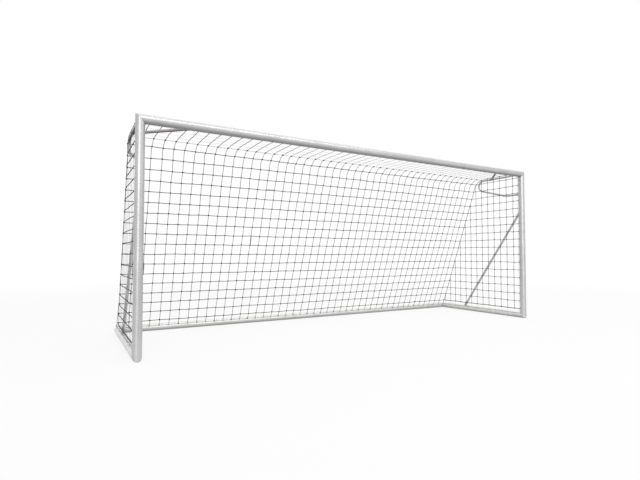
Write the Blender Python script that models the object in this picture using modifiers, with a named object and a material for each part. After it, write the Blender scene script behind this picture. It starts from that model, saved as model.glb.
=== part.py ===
# Free-standing soccer goal, 5.00 m by 2.00 m clear inside, with its net.
# Round aluminium tubes are mitred at six corners and held by cast joints inside them.
# A net bow behind each post, tied to the crossbar by a corner brace, carries the net's top.
# X runs along the goal, Y from the mouth to the rear, and Z up. The ground is at Z = 0.

import math

import bmesh
import bpy
from mathutils import Matrix, Vector

# Frame of 80 mm tube
CLEAR_WIDTH = 5.000
CLEAR_HEIGHT = 2.000
AXIS_DEPTH = 1.530
TUBE_RADIUS = 0.040
TUBE_WALL = 0.003
TUBE_SIDES = 32
FIT_GAP = 0.0003

POST_X = CLEAR_WIDTH / 2 + TUBE_RADIUS
CROSSBAR_Z = CLEAR_HEIGHT + TUBE_RADIUS
GROUND_Z = TUBE_RADIUS
FRONT_Y = -AXIS_DEPTH / 2
REAR_Y = AXIS_DEPTH / 2

# Cast corner joints inside the mitres, and the screws that hold them
JOINT_RADIUS = 0.0353
JOINT_WALL = 0.005
JOINT_LEG = 0.125
JOINT_SIDES = 12
SCREW_STEP = 0.080
SCREW_SIDES = 8
SCREW_HEAD_RADIUS = 0.0070
SCREW_HEAD_HEIGHT = 0.0042
SCREW_HEAD_EDGE = 0.0015
SCREW_SHANK_RADIUS = 0.0036
SCREW_HOLE_RADIUS = 0.0040
SCREW_TIP = 0.029

# Net bows, as distances behind the post axis and heights
BOW_RADIUS = 0.014
THIN_WALL = 0.002
BOW_START = 0.0445
BOW_TOP_Z = 2.0405
BOW_BEND_CENTRE = (0.657, 1.9595)
BOW_BEND_RADIUS = 0.081
BOW_BEND_END = -73.7
BOW_KINK = (0.253, 1.757)
BOW_KINK_ROUNDING = 0.030

# Side braces, from the post down to the ground bar
BRACE_RADIUS = 0.015
BRACE_TOP = (0.0, 1.5405)
BRACE_FOOT = (1.067, GROUND_Z)
BRACE_TOP_SETBACK = 0.0970
BRACE_FOOT_SETBACK = 0.0640

# Corner braces, from the crossbar back to the bows
CORNER_BRACE_INSET = 0.518
CORNER_BRACE_FRONT_Z = 2.0355
CORNER_BRACE_REACH = 0.510
CORNER_BRACE_FRONT_SETBACK = 0.0750
CORNER_BRACE_REAR_SETBACK = 0.0360

# Sockets and clamps that hold the thin tubes
SOCKET_WALL = 0.0028
THIN_SIDES = 12
BOW_SOCKET_LENGTH = 0.075
BRACE_TOP_SOCKET = 0.125
BRACE_FOOT_SOCKET = 0.100
CORNER_SOCKET = 0.100
CLAMP_LENGTH = 0.050
CLAMP_STUB = 0.050

# Net, in the two side planes, with the line of its top and rear seen from the side
MESH = 0.1097
NET_CORD = 0.005
NET_LEFT_X = -2.5615
NET_RIGHT_X = 2.503
NET_FIRST_COLUMN = -2.545
NET_COLUMNS = 46
SIDE_FIRST_COLUMN = 0.004
SIDE_COLUMNS = 14
FIRST_ROW_Z = 0.129
SHOULDER = (0.690, 2.0590)
REAR_TOP = (0.765, 1.985)
ROPE_RADIUS = 0.0025
ROPE_TO_NET = 2 * ROPE_RADIUS + FIT_GAP
EDGE_TO_NET = 0.0085
HOOK_TO_NET = 0.012
SEAM_GAP = NET_CORD + FIT_GAP
LEAST_SEGMENT = 0.020

# Border rope, as distances from the axis of the tube that it runs along
ROPE_REACH = 0.0473
CROSSBAR_ROPE_RISE = 0.0235
REAR_ROPE_RISE = 0.0255
ROPE_CORNER = 0.012
ROPE_LEAVES_POST = 1.955
ROPE_UNDER_CROSSBAR = (0.0468, 2.0334)
ROPE_LEAVES_BAR = 1.400
ROPE_OVER_BAR = ((0.060, 0.0655), (0.005, 0.0880))
ROPE_LEFT_CORNER_Z = 0.0835
REAR_NET_RISE = 0.025

# Net hooks standing on a thin rail, as distances outward from the tube's axis and sideways
RAIL_SEAT = 0.0406
RAIL_FACE = 0.0434
RAIL_SIDES = (-0.0070, -0.0038, 0.0)
HOOK_THROAT = 0.0510
HOOK_TIP = 0.0535
HOOK_LIP = 0.0045
HOOK_WIDTH = 0.008
HOOK_STEP = 2 * MESH
BAR_HOOKS = 23
POST_HOOKS = 9
GROUND_BAR_HOOKS = 6

X_AXIS = Vector((1, 0, 0))
Y_AXIS = Vector((0, 1, 0))
Z_AXIS = Vector((0, 0, 1))
SQUARE_END = Vector((0, 0, 0))
SIDES = {"left": -1, "right": 1}


def point(x, behind, z):
    """Place given by its distance behind the post axis."""
    return Vector((x, FRONT_Y + behind, z))


def material(name, colour, roughness, metallic):
    """Principled material of one finish."""
    finish = bpy.data.materials.new(name)
    finish.use_nodes = True
    shader = finish.node_tree.nodes["Principled BSDF"]
    shader.inputs["Base Color"].default_value = (*colour, 1.0)
    shader.inputs["Roughness"].default_value = roughness
    shader.inputs["Metallic"].default_value = metallic
    finish.diffuse_color = (*colour, 1.0)
    return finish


def collection(name):
    """Collection linked to the scene."""
    group = bpy.data.collections.new(name)
    bpy.context.scene.collection.children.link(group)
    return group


def add_object(name, data, finish, group):
    """Object of the goal, or a cutter where it has no finish."""
    thing = bpy.data.objects.new(name, data)
    group.objects.link(thing)
    if finish:
        data.materials.append(finish)
    else:
        thing.hide_render = True
        thing.display_type = "WIRE"
    return thing


def mesh_object(name, shape, finish, group, smooth=True):
    """Object made from a bmesh, with its faces turned outward."""
    bmesh.ops.recalc_face_normals(shape, faces=shape.faces)
    mesh = bpy.data.meshes.new(name)
    shape.to_mesh(mesh)
    shape.free()
    if smooth:
        mesh.shade_smooth()
        mesh.set_sharp_from_angle(angle=math.radians(40))
    return add_object(name, mesh, finish, group)


def cut(thing, cutter, operation="DIFFERENCE"):
    """Boolean of one object by another."""
    modifier = thing.modifiers.new(cutter.name, "BOOLEAN")
    modifier.operation = operation
    modifier.solver = "EXACT"
    modifier.object = cutter


def across_any(axis):
    """Direction square to an axis."""
    return axis.cross(X_AXIS if abs(axis.x) < 0.9 else Y_AXIS).normalized()


def section(centre, axis, shear=SQUARE_END):
    """Place of a round section: its centre and two directions, sheared along the axis at a mitre."""
    across = across_any(axis)
    beside = axis.cross(across)
    return centre, across + axis * across.dot(shear), beside + axis * beside.dot(shear)


def swept(shape, sections, outer, inner, sides):
    """Tube or rod through round sections, its flats touching the radius."""
    disc = bmesh.ops.create_circle(
        shape, cap_ends=True, segments=sides, radius=outer / math.cos(math.pi / sides),
        matrix=Matrix.Rotation(math.pi / sides, 4, "Z"))
    faces = list({face for vert in disc["verts"] for face in vert.link_faces})
    if inner:
        rim = bmesh.ops.inset_region(shape, faces=faces, thickness=outer - inner, use_boundary=True)
        bmesh.ops.delete(shape, geom=faces, context="FACES_ONLY")
        faces = rim["faces"]
    flat = shape.verts.layers.float_vector.get("flat") or shape.verts.layers.float_vector.new("flat")
    for number, (centre, across, beside) in enumerate(sections):
        if number:
            made = bmesh.ops.extrude_face_region(shape, geom=faces)
            if number > 1:
                bmesh.ops.delete(shape, geom=faces, context="FACES_ONLY")
            faces = [item for item in made["geom"] if isinstance(item, bmesh.types.BMFace)]
        for vert in {vert for face in faces for vert in face.verts}:
            if not number:
                vert[flat] = vert.co
            vert.co = centre + across * vert[flat].x + beside * vert[flat].y


def tube_sections(ends, across=(SQUARE_END, SQUARE_END), relief=0.0):
    """Two end sections of a tube, each mitred towards its across direction."""
    start, end = ends
    axis = (end - start).normalized()
    return (
        section(start + axis * relief, axis, across[0]),
        section(end - axis * relief, axis, -across[1]),
    )


def hollow_tube(name, ends, across, outer, inner, sides, finish, group, relief=0.0):
    """Tube between two points, mitred towards the across directions."""
    shape = bmesh.new()
    swept(shape, tube_sections(ends, across, relief), outer, inner, sides)
    return mesh_object(name, shape, finish, group)


def solid_rod(
        name, start, end, radius, sides, group, finish=None, across=(SQUARE_END, SQUARE_END), relief=0.0):
    """Solid cylinder, a cutter where it has no finish."""
    shape = bmesh.new()
    swept(shape, tube_sections((start, end), across, relief), radius, None, sides)
    return mesh_object(name, shape, finish, group, smooth=finish is not None)


def elbow(name, corner, legs, finish, group):
    """Corner joint: a hollow L with a leg inside each tube."""
    first, second = legs
    beside = first.cross(second)
    sections = (
        (corner + first * JOINT_LEG, second, beside),
        (corner, first + second, beside),
        (corner + second * JOINT_LEG, first, beside),
    )
    shape = bmesh.new()
    swept(shape, sections, JOINT_RADIUS, JOINT_RADIUS - JOINT_WALL, JOINT_SIDES)
    return mesh_object(name, shape, finish, group)


def screw_outline(name):
    """Half section of a button-head screw, as distances from its own axis and from the tube's axis."""
    seat = TUBE_RADIUS + FIT_GAP
    crown = seat + SCREW_HEAD_HEIGHT
    places = (
        (0, crown), (SCREW_HEAD_RADIUS - SCREW_HEAD_EDGE, crown), (SCREW_HEAD_RADIUS, seat),
        (SCREW_SHANK_RADIUS, seat), (SCREW_SHANK_RADIUS, SCREW_TIP), (0, SCREW_TIP),
    )
    shape = bmesh.new()
    verts = [shape.verts.new((radius, 0, height)) for radius, height in places]
    for pair in zip(verts, verts[1:]):
        shape.edges.new(pair)
    outline = bpy.data.meshes.new(name)
    shape.to_mesh(outline)
    shape.free()
    return outline


def facing(place, outward, along):
    """Matrix with its Z outward from a point of a tube's axis, and its X along the tube."""
    turn = Matrix((along, outward.cross(along), outward)).transposed()
    return Matrix.Translation(place) @ turn.to_4x4()


def joint_screw(name, place, finish, group):
    """Screw through a tube's wall into its corner joint."""
    screw = add_object(name, screw_outline(name), finish, group)
    screw.matrix_world = place
    turned = screw.modifiers.new("turned", "SCREW")
    turned.steps = SCREW_SIDES
    turned.render_steps = SCREW_SIDES
    turned.use_merge_vertices = True
    turned.merge_threshold = 0.00001


def rounded(points, reach, steps=2, closed=False):
    """Points of a line with each of its corners rounded."""
    count = len(points)
    line = []
    for index, corner in enumerate(points):
        if not closed and index in (0, count - 1):
            line.append(corner)
            continue
        before = corner + (points[index - 1] - corner).normalized() * reach
        after = corner + (points[(index + 1) % count] - corner).normalized() * reach
        for step in range(steps + 1):
            share = step / steps
            line.append(before.lerp(corner, share).lerp(corner.lerp(after, share), share))
    return line


def curve_tube(name, points, radius, resolution, finish, group, closed=False, caps=True):
    """Round tube or cord along a line of points."""
    curve = bpy.data.curves.new(name, "CURVE")
    curve.dimensions = "3D"
    curve.bevel_depth = radius
    curve.bevel_resolution = resolution
    curve.use_fill_caps = caps
    spline = curve.splines.new("POLY")
    spline.points.add(len(points) - 1)
    for spot, place in zip(spline.points, points):
        spot.co = (*place, 1.0)
    spline.use_cyclic_u = closed
    spline.use_smooth = True
    return add_object(name, curve, finish, group)


def bow_points(x):
    """Centre line of a net bow: back from the post's top, round the bend and down to the post again."""
    centre = Vector((0, *BOW_BEND_CENTRE))
    bend = []
    bend_steps = 6
    for step in range(bend_steps + 1):
        angle = math.radians(90 + (BOW_BEND_END - 90) * step / bend_steps)
        bend.append(centre + BOW_BEND_RADIUS * Vector((0, math.cos(angle), math.sin(angle))))
    kink = Vector((0, *BOW_KINK))
    lower_end = Vector((0, BOW_START, BOW_KINK[1]))
    lower = rounded([bend[-1], kink, lower_end], BOW_KINK_ROUNDING)
    line = [Vector((0, BOW_START, BOW_TOP_Z))] + bend + lower[1:]
    return [point(x, place.y, place.z) for place in line]


def net_grid(columns, rows, place):
    """Flat grid of meshes, with its lines at the given columns and rows."""
    shape = bmesh.new()
    bmesh.ops.create_grid(shape, x_segments=len(columns) - 1, y_segments=len(rows) - 1, size=0.5)
    for vert in shape.verts:
        column = columns[round((vert.co.x + 0.5) * (len(columns) - 1))]
        row = rows[round((vert.co.y + 0.5) * (len(rows) - 1))]
        vert.co = place(column, row)
    return shape


def raised(shape, faces, move):
    """Each face drawn out by itself."""
    made = bmesh.ops.extrude_discrete_faces(shape, faces=faces)["faces"]
    bmesh.ops.translate(shape, vec=move, verts=list({vert for face in made for vert in face.verts}))
    return made


def hook_rail(name, first, count, along, beside, outward, finish, group):
    """Rail along a tube with a row of C hooks, their stems on the rail's edge away from beside."""
    ends = [HOOK_STEP * step + edge for step in range(count) for edge in (-HOOK_WIDTH / 2, HOOK_WIDTH / 2)]
    shape = net_grid(ends, RAIL_SIDES, lambda reach, side: (reach, side, RAIL_SEAT))
    made = bmesh.ops.extrude_face_region(shape, geom=shape.faces[:])["geom"]
    face_verts = [item for item in made if isinstance(item, bmesh.types.BMVert)]
    bmesh.ops.translate(shape, vec=(0, 0, RAIL_FACE - RAIL_SEAT), verts=face_verts)
    stems = [
        item for item in made if isinstance(item, bmesh.types.BMFace)
        and item.calc_area() < HOOK_WIDTH ** 2 and item.calc_center_median().y < RAIL_SIDES[1]]
    stems = raised(shape, stems, (0, 0, HOOK_THROAT - RAIL_FACE))
    raised(shape, stems, (0, 0, HOOK_TIP - HOOK_THROAT))
    lips = [
        face for face in shape.faces
        if face.calc_center_median().z > HOOK_THROAT
        and abs(face.calc_center_median().y - RAIL_SIDES[1]) < FIT_GAP]
    raised(shape, lips, (0, HOOK_LIP - RAIL_SIDES[1], 0))
    turn = Matrix((along, beside, outward)).transposed().to_4x4()
    bmesh.ops.transform(shape, matrix=Matrix.Translation(first) @ turn, verts=shape.verts)
    return mesh_object(name, shape, finish, group, smooth=False)


def net_object(name, shape, finish, group):
    """Net panel: a cord along every line of a grid."""
    panel = mesh_object(name, shape, finish, group, smooth=False)
    cords = panel.modifiers.new("cords", "WIREFRAME")
    cords.thickness = NET_CORD
    cords.use_boundary = True
    cords.use_replace = True
    cords.use_even_offset = True
    return panel


def toward(start, end, distance):
    """Place a distance along the line from one side-view place to another."""
    start = Vector(start)
    return start + (Vector(end) - start).normalized() * distance


def rope_offsets():
    """Distances of the border rope from the tubes' axes, all at the same reach from them."""
    left = -POST_X - NET_LEFT_X
    right = POST_X - NET_RIGHT_X
    return {
        "left": (NET_LEFT_X, math.sqrt(ROPE_REACH ** 2 - left ** 2)),
        "right": (NET_RIGHT_X, math.sqrt(ROPE_REACH ** 2 - right ** 2)),
        "crossbar": math.sqrt(ROPE_REACH ** 2 - CROSSBAR_ROPE_RISE ** 2),
        "rear": math.sqrt(ROPE_REACH ** 2 - REAR_ROPE_RISE ** 2),
    }


def rope_corners(offsets):
    """Side-view places of the border rope: behind the crossbar, on the rear bar, and at the rear corners."""
    crossbar_rope = Vector((offsets["crossbar"], CROSSBAR_Z + CROSSBAR_ROPE_RISE))
    rear_rope = Vector((AXIS_DEPTH - offsets["rear"], GROUND_Z + REAR_ROPE_RISE))
    return crossbar_rope, rear_rope, {"left": Vector((rear_rope.x, ROPE_LEFT_CORNER_Z)), "right": rear_rope}


def frame_corners():
    """Top, foot and rear corner of each side, on the tubes' axes."""
    return {
        side: (
            Vector((sign * POST_X, FRONT_Y, CROSSBAR_Z)),
            Vector((sign * POST_X, FRONT_Y, GROUND_Z)),
            Vector((sign * POST_X, REAR_Y, GROUND_Z)),
        )
        for side, sign in SIDES.items()}


def frame_bars():
    """Ends and mitre directions of the six tubes."""
    corners = frame_corners()
    bars = {
        "crossbar": ((corners["left"][0], corners["right"][0]), (-Z_AXIS, -Z_AXIS)),
        "rear_ground_bar": ((corners["left"][2], corners["right"][2]), (-Y_AXIS, -Y_AXIS)),
    }
    for side, sign in SIDES.items():
        top, foot, rear = corners[side]
        bars[side + "_post"] = ((foot, top), (Y_AXIS, -sign * X_AXIS))
        bars[side + "_ground_bar"] = ((foot, rear), (Z_AXIS, -sign * X_AXIS))
    return bars


def build_frame(group, cutters, tube, cast, steel):
    """Six mitred tubes, the joints inside them and the joints' screws."""
    corners = frame_corners()
    relief = FIT_GAP / math.sqrt(2)
    made = {}
    for name, (ends, across) in frame_bars().items():
        made[name] = hollow_tube(
            name, ends, across, TUBE_RADIUS, TUBE_RADIUS - TUBE_WALL, TUBE_SIDES, tube, group, relief)
    for side, sign in SIDES.items():
        inward = -sign * X_AXIS
        top, foot, rear = corners[side]
        below_rear = Vector((0, math.cos(math.radians(33.75)), -math.sin(math.radians(33.75))))
        joints = (
            ("top", top, (inward, -Z_AXIS), (below_rear, Y_AXIS), ("crossbar", side + "_post")),
            ("foot", foot, (Z_AXIS, Y_AXIS), (Y_AXIS, inward), (side + "_post", side + "_ground_bar")),
            ("rear", rear, (-Y_AXIS, inward), (inward, -Y_AXIS), (side + "_ground_bar", "rear_ground_bar")),
        )
        for place, corner, legs, outward, joined in joints:
            joint = elbow(f"{side}_{place}_corner_joint", corner, legs, cast, group)
            for number, (leg, out, bar) in enumerate(zip(legs, outward, joined), start=1):
                name = f"{side}_{place}_joint_screw_{number}"
                middle = corner + leg * SCREW_STEP
                joint_screw(name, facing(middle, out, leg), steel, group)
                hole = solid_rod(
                    name + "_hole", middle + out * (SCREW_TIP - 0.004), middle + out * (TUBE_RADIUS + 0.006),
                    SCREW_HOLE_RADIUS, SCREW_SIDES, cutters)
                cut(joint, hole)
                cut(made[bar], hole)


def frame_cutters(cutters):
    """Solid copies of the tubes, a fit gap larger, that shape what sits on them."""
    rods = {}
    for name, (ends, across) in frame_bars().items():
        if name != "rear_ground_bar":
            rods[name] = solid_rod(
                name + "_clearance", *ends, TUBE_RADIUS + FIT_GAP, TUBE_SIDES, cutters,
                across=across, relief=-FIT_GAP)
    return rods


def socket(name, start, end, radius, cuts, finish, group):
    """Sleeve round a thin tube's end, shaped at its foot to the tubes it is fixed to."""
    bore = radius + FIT_GAP
    sleeve = hollow_tube(
        name, (start, end), (SQUARE_END, SQUARE_END), bore + SOCKET_WALL, bore, THIN_SIDES, finish, group)
    for cutter in cuts:
        cut(sleeve, cutter)
    return sleeve


def build_bow(side, sign, rods, tube, fitting, group):
    """Net bow and its two sockets on the post."""
    x = sign * POST_X
    bow = curve_tube(f"{side}_net_bow", bow_points(x), BOW_RADIUS, 3, tube, group, caps=False)
    wall = bow.modifiers.new("wall", "SOLIDIFY")
    wall.thickness = THIN_WALL
    wall.offset = -1
    socket(
        f"{side}_bow_top_socket", point(x, 0, BOW_TOP_Z), point(x, BOW_SOCKET_LENGTH, BOW_TOP_Z),
        BOW_RADIUS, (rods[side + "_post"], rods["crossbar"]), fitting, group)
    socket(
        f"{side}_bow_lower_socket", point(x, 0, BOW_KINK[1]), point(x, BOW_SOCKET_LENGTH, BOW_KINK[1]),
        BOW_RADIUS, (rods[side + "_post"],), fitting, group)


def build_side_brace(side, sign, rods, tube, fitting, group):
    """Brace from the post down to the ground bar, and its sockets."""
    top = point(sign * POST_X, *BRACE_TOP)
    foot = point(sign * POST_X, *BRACE_FOOT)
    down = (foot - top).normalized()
    hollow_tube(
        f"{side}_side_brace", (top + down * BRACE_TOP_SETBACK, foot - down * BRACE_FOOT_SETBACK),
        (SQUARE_END, SQUARE_END), BRACE_RADIUS, BRACE_RADIUS - THIN_WALL, THIN_SIDES, tube, group)
    socket(
        f"{side}_brace_top_socket", top, top + down * BRACE_TOP_SOCKET,
        BRACE_RADIUS, (rods[side + "_post"],), fitting, group)
    socket(
        f"{side}_brace_foot_socket", foot, foot - down * BRACE_FOOT_SOCKET,
        BRACE_RADIUS, (rods[side + "_ground_bar"],), fitting, group)


def corner_brace_line(sign):
    """Ends of a corner brace's line on the axes of the crossbar and of the bow."""
    return (
        point(sign * (POST_X - CORNER_BRACE_INSET), 0, CORNER_BRACE_FRONT_Z),
        point(sign * POST_X, CORNER_BRACE_REACH, BOW_TOP_Z))


def build_corner_brace(side, sign, rods, cutters, tube, fitting, group):
    """Brace from the crossbar back to the bow, its socket, and its clamp on the bow."""
    front, rear = corner_brace_line(sign)
    back = (rear - front).normalized()
    hollow_tube(
        f"{side}_corner_brace",
        (front + back * CORNER_BRACE_FRONT_SETBACK, rear - back * CORNER_BRACE_REAR_SETBACK),
        (SQUARE_END, SQUARE_END), BOW_RADIUS, BOW_RADIUS - THIN_WALL, THIN_SIDES, tube, group)
    socket(
        f"{side}_corner_brace_socket", front, front + back * CORNER_SOCKET,
        BOW_RADIUS, (rods["crossbar"],), fitting, group)
    half = Y_AXIS * CLAMP_LENGTH / 2
    clamp = solid_rod(
        f"{side}_brace_clamp", rear - half, rear + half,
        BOW_RADIUS + FIT_GAP + SOCKET_WALL, THIN_SIDES, group, fitting)
    stub = socket(
        f"{side}_clamp_stub", rear, rear - back * CLAMP_STUB, BOW_RADIUS, (), None, cutters)
    bore = solid_rod(
        f"{side}_clamp_bore", rear - 2 * half, rear + 2 * half, BOW_RADIUS + 2 * FIT_GAP, THIN_SIDES, cutters)
    cut(clamp, stub, "UNION")
    cut(clamp, bore)


def build_ropes(white_cord, cord, group):
    """Border rope held by the hooks, and the edge ropes where the side panels meet top and rear."""
    offsets = rope_offsets()
    left_x, left_reach = offsets["left"]
    right_x, right_reach = offsets["right"]
    crossbar_rope, rear_rope, corners = rope_corners(offsets)
    over_bar = [point(-POST_X + inset, rear_rope.x, z) for inset, z in ROPE_OVER_BAR]
    border = [
        point(left_x, left_reach, GROUND_Z + left_reach),
        point(left_x, left_reach, ROPE_LEAVES_POST),
        point(left_x, *crossbar_rope),
        point(right_x, *crossbar_rope),
        point(right_x, *ROPE_UNDER_CROSSBAR),
        point(right_x, right_reach, ROPE_LEAVES_POST),
        point(right_x, right_reach, GROUND_Z + right_reach),
        point(right_x, ROPE_LEAVES_BAR, GROUND_Z + right_reach),
        point(right_x, *corners["right"]),
        *over_bar,
        point(left_x, *corners["left"]),
        point(left_x, ROPE_LEAVES_BAR, GROUND_Z + left_reach),
    ]
    line = rounded(border, ROPE_CORNER, closed=True)
    curve_tube("border_rope", line, ROPE_RADIUS, 2, white_cord, group, closed=True)
    for side, x in (("left", left_x), ("right", right_x)):
        ends = (
            toward(crossbar_rope, SHOULDER, ROPE_TO_NET), Vector(SHOULDER), Vector(REAR_TOP),
            toward(corners[side], REAR_TOP, ROPE_TO_NET))
        line = rounded([point(x, *place) for place in ends], ROPE_CORNER)
        curve_tube(f"{side}_edge_rope", line, ROPE_RADIUS, 2, cord, group)


def build_hooks(plastic, group):
    """A rail of hooks on each of the six tubes, one hook at every second cord of the net."""
    offsets = rope_offsets()
    crossbar_out = Vector((0, offsets["crossbar"], CROSSBAR_ROPE_RISE)).normalized()
    rear_out = Vector((0, -offsets["rear"], REAR_ROPE_RISE)).normalized()
    first_x = NET_FIRST_COLUMN + MESH
    hook_rail(
        "crossbar_net_hooks", Vector((first_x, FRONT_Y, CROSSBAR_Z)), BAR_HOOKS,
        X_AXIS, X_AXIS.cross(crossbar_out), crossbar_out, plastic, group)
    hook_rail(
        "rear_bar_net_hooks", Vector((first_x, REAR_Y, GROUND_Z)), BAR_HOOKS,
        X_AXIS, rear_out.cross(X_AXIS), rear_out, plastic, group)
    for side, sign in SIDES.items():
        x, reach = offsets[side]
        sideways = x - sign * POST_X
        post_out = Vector((sideways, reach, 0)).normalized()
        bar_out = Vector((sideways, 0, reach)).normalized()
        hook_rail(
            f"{side}_post_net_hooks", point(sign * POST_X, 0, FIRST_ROW_Z), POST_HOOKS,
            Z_AXIS, sign * Z_AXIS.cross(post_out), post_out, plastic, group)
        hook_rail(
            f"{side}_bar_net_hooks", point(sign * POST_X, SIDE_FIRST_COLUMN + MESH, GROUND_Z),
            GROUND_BAR_HOOKS, Y_AXIS, sign * bar_out.cross(Y_AXIS), bar_out, plastic, group)


def build_net(cutters, cord, group):
    """Top, rear and side panels, drawn with every second cord."""
    offsets = rope_offsets()
    inner = [NET_FIRST_COLUMN + MESH * step for step in range(2, NET_COLUMNS - 1, 2)]
    columns = [NET_LEFT_X + EDGE_TO_NET] + inner + [NET_RIGHT_X - EDGE_TO_NET]
    crossbar_rope, rear_rope, corners = rope_corners(offsets)

    top_front = toward(crossbar_rope, SHOULDER, HOOK_TO_NET)
    top_rows = [top_front.lerp(Vector(SHOULDER), share) for share in (0, 1 / 3, 2 / 3, 1)]
    top_rows.append(toward(REAR_TOP, SHOULDER, SEAM_GAP / 2))
    shape = net_grid(columns, top_rows, lambda x, row: point(x, *row))
    net_object("net_top", shape, cord, group)

    rear_start = toward(rear_rope, REAR_TOP, REAR_NET_RISE)
    rear_end = toward(REAR_TOP, rear_rope, SEAM_GAP / 2)
    heights = [FIRST_ROW_Z + MESH * step for step in range(1, 17, 2)]
    shares = [(height - rear_start.y) / (rear_end.y - rear_start.y) for height in heights]
    rear_rows = [rear_start] + [rear_start.lerp(rear_end, share) for share in shares] + [rear_end]
    shape = net_grid(columns, rear_rows, lambda x, row: point(x, *row))
    net_object("net_rear", shape, cord, group)

    for side, sign in SIDES.items():
        x, reach = offsets[side]
        depths = [crossbar_rope.x + HOOK_TO_NET]
        depths += [SIDE_FIRST_COLUMN + MESH * step for step in range(2, SIDE_COLUMNS, 2)] + [AXIS_DEPTH]
        rows = [GROUND_Z + reach + HOOK_TO_NET] + heights + [CROSSBAR_Z + TUBE_RADIUS]
        shape = net_grid(depths, rows, lambda depth, height: point(x, depth, height))
        edge = [crossbar_rope, Vector(SHOULDER), Vector(REAR_TOP), corners[side]]
        for start, end in zip(edge, edge[1:]):
            run = (end - start).normalized()
            outward = Vector((0, -run.y, run.x))
            on_edge = point(x, *start) - outward * EDGE_TO_NET
            bmesh.ops.bisect_plane(
                shape, geom=shape.verts[:] + shape.edges[:] + shape.faces[:], plane_co=on_edge,
                plane_no=outward, clear_outer=True)
        bmesh.ops.remove_doubles(shape, verts=shape.verts, dist=LEAST_SEGMENT)
        panel = net_object(f"net_{side}", shape, cord, group)
        if abs(x) < POST_X:
            front, rear = corner_brace_line(sign)
            passage = solid_rod(
                "brace_passage", front.lerp(rear, 0.8), rear, BOW_RADIUS + SOCKET_WALL + 2 * FIT_GAP,
                THIN_SIDES, cutters)
            cut(panel, passage)


def main():
    for thing in list(bpy.data.objects):
        bpy.data.objects.remove(thing)
    goal = collection("soccer_goal")
    cutters = collection("cutters")
    tube = material("satin_aluminium", (0.80, 0.80, 0.81), 0.32, 0.85)
    thin_tube = material("thin_tube", (0.62, 0.61, 0.61), 0.40, 0.85)
    fitting = material("fitting", (0.66, 0.65, 0.65), 0.45, 0.80)
    cast = material("cast_aluminium", (0.55, 0.55, 0.56), 0.60, 0.70)
    steel = material("zinc_steel", (0.60, 0.60, 0.62), 0.35, 1.00)
    plastic = material("hook_plastic", (0.72, 0.72, 0.72), 0.50, 0.00)
    white_cord = material("border_cord", (0.80, 0.79, 0.78), 0.80, 0.00)
    cord = material("net_cord", (0.035, 0.033, 0.038), 0.85, 0.00)

    build_frame(goal, cutters, tube, cast, steel)
    rods = frame_cutters(cutters)
    for side, sign in SIDES.items():
        build_bow(side, sign, rods, thin_tube, fitting, goal)
        build_side_brace(side, sign, rods, thin_tube, fitting, goal)
        build_corner_brace(side, sign, rods, cutters, thin_tube, fitting, goal)
    build_hooks(plastic, goal)
    build_ropes(white_cord, cord, goal)
    build_net(cutters, cord, goal)


main()
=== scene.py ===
# Free-standing soccer goal of satin aluminium tube, with its knotted black net on hooks.
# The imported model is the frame. Its tubes, fittings and hooks are drawn finer here, and the net has all
# its cords.
# X runs along the goal, Y from the mouth to the rear and Z up, in metres.

import math
import random

import bmesh
import bpy
from mathutils import Matrix, Vector


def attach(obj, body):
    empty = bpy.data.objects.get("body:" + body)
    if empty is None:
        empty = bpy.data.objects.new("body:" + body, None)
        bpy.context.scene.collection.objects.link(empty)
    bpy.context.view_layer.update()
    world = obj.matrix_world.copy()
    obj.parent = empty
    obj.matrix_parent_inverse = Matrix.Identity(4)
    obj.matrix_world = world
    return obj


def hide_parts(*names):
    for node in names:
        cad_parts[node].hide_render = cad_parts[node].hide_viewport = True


# Frame of 80 mm tube
TUBE_RADIUS = 0.040
TUBE_WALL = 0.003
TUBE_SIDES = 64
POST_X = 2.540
CROSSBAR_Z = 2.040
GROUND_Z = 0.040
AXIS_DEPTH = 1.530
FRONT_Y = -0.765
FIT_GAP = 0.0003
RIM_ROUNDING = 0.0008
SMOOTH_ANGLE = math.radians(40)

# Screws of the corner joints, and the smaller ones of the sleeves
SCREW_STEP = 0.080
SCREW_SEAT = 0.0403
SCREW_HEAD_RADIUS = 0.0070
SCREW_HEAD_HEIGHT = 0.0042
SCREW_SHANK_RADIUS = 0.0036
SCREW_LENGTH = 0.0113
SCREW_HEAD_RINGS = ((0.72, 0.985), (0.90, 0.86), (1.0, 0.66))
SCREW_RING_INSET = 0.0004
SCREW_RECESS_HALF = 0.0030
SCREW_RECESS_DEPTH = 0.0024
SCREW_TILT = math.radians(33.75)
SET_SCREW_SCALE = 0.6
SET_SCREW_SETBACK = 0.012

# Net bows, as distances behind the post axis and heights
BOW_RADIUS = 0.014
BOW_START = 0.0445
BOW_TOP_Z = 2.0405
BOW_BEND_CENTRE = (0.657, 1.9595)
BOW_BEND_RADIUS = 0.081
BOW_BEND_END = -73.7
BOW_BEND_STEPS = 28
BOW_KINK = (0.253, 1.757)
BOW_KINK_ROUNDING = 0.030

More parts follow.
